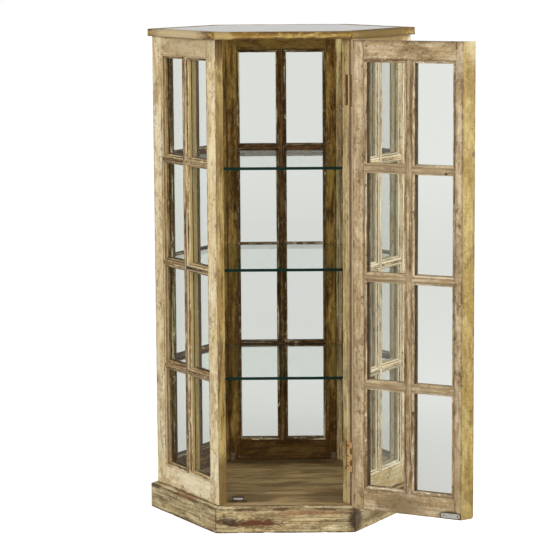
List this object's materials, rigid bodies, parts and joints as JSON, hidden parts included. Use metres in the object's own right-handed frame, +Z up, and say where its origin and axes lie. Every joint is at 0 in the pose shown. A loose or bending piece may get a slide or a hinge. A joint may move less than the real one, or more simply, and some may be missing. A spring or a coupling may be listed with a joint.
{
  "type": "display cabinet",
  "caption": "Six-sided free-standing glass display cabinet made of old window sashes, with a hinged door, glass shelves, a glass top and a wooden plinth.",
  "frame": {"origin": "on the ground, on the axis of the six-sided cabinet", "axes": "+Z up, -Y towards the door side, which faces the viewer, +X to the right as seen from the front"},
  "size_m": [1.0977, 1.052, 1.7],
  "materials": {
    "sash_wood": "bare, worn, traces of lime white",
    "door_wood": "bare, worn, traces of pale paint",
    "bead_wood": "bare",
    "plinth_wood": "worn grey wash",
    "floor_wood": "worn grey brown",
    "block_wood": "rough sawn",
    "rim_wood": "worn",
    "window_glass": "clear, old",
    "sheet_glass": "clear, green at the edges",
    "rusty_iron": "rusted",
    "bright_steel": "zinc plated",
    "magnet_steel": "plain",
    "catch_plastic": "dark brown"
  },
  "bodies": {
    "cabinet": {"back_beads": "bead_wood", "back_bottom_rail": "sash_wood", "back_glazing_bars": "sash_wood", "back_left_stile": "sash_wood", "back_panes": "window_glass", "back_right_stile": "sash_wood", "back_top_rail": "sash_wood", "catch_housing": "catch_plastic", "catch_magnet": "magnet_steel", "floor_board": "floor_wood", "floor_brackets": "bright_steel", "hinge_frame_leaves": "rusty_iron", "hinge_pins": "rusty_iron", "left_back_beads": "bead_wood", "left_back_bottom_rail": "sash_wood", "left_back_glazing_bars": "sash_wood", "left_back_left_stile": "sash_wood", "left_back_panes": "window_glass", "left_back_right_stile": "sash_wood", "left_back_top_rail": "sash_wood", "left_front_beads": "bead_wood", "left_front_bottom_rail": "sash_wood", "left_front_glazing_bars": "sash_wood", "left_front_left_stile": "sash_wood", "left_front_panes": "window_glass", "left_front_right_stile": "sash_wood", "left_front_top_rail": "sash_wood", "lower_shelf": "sheet_glass", "middle_shelf": "sheet_glass", "plinth_boards": "plinth_wood", "plinth_corner_blocks": "block_wood", "right_back_beads": "bead_wood", "right_back_bottom_rail": "sash_wood", "right_back_glazing_bars": "sash_wood", "right_back_left_stile": "sash_wood", "right_back_panes": "window_glass", "right_back_right_stile": "sash_wood", "right_back_top_rail": "sash_wood", "right_front_beads": "bead_wood", "right_front_bottom_rail": "sash_wood", "right_front_glazing_bars": "sash_wood", "right_front_left_stile": "sash_wood", "right_front_panes": "window_glass", "right_front_right_stile": "sash_wood", "right_front_top_rail": "sash_wood", "shelf_rests": "bright_steel", "top_glass": "sheet_glass", "top_rim_rails": "rim_wood", "upper_shelf": "sheet_glass"},
    "door_leaf": {"door_beads": "bead_wood", "door_bottom_rail": "door_wood", "door_glazing_bars": "door_wood", "door_left_stile": "door_wood", "door_panes": "window_glass", "door_right_stile": "door_wood", "door_top_rail": "door_wood", "strike_plate": "bright_steel", "hinge_door_leaves": "rusty_iron"}
  },
  "joints": [
    {"name": "door_hinge", "type": "hinge", "parent": "cabinet", "child": "door_leaf", "pos_m": [0.22733, -0.39575, 0.8815], "axis": [0, 0, 1], "range_deg": [-152.2, 82.8]}
  ]
}
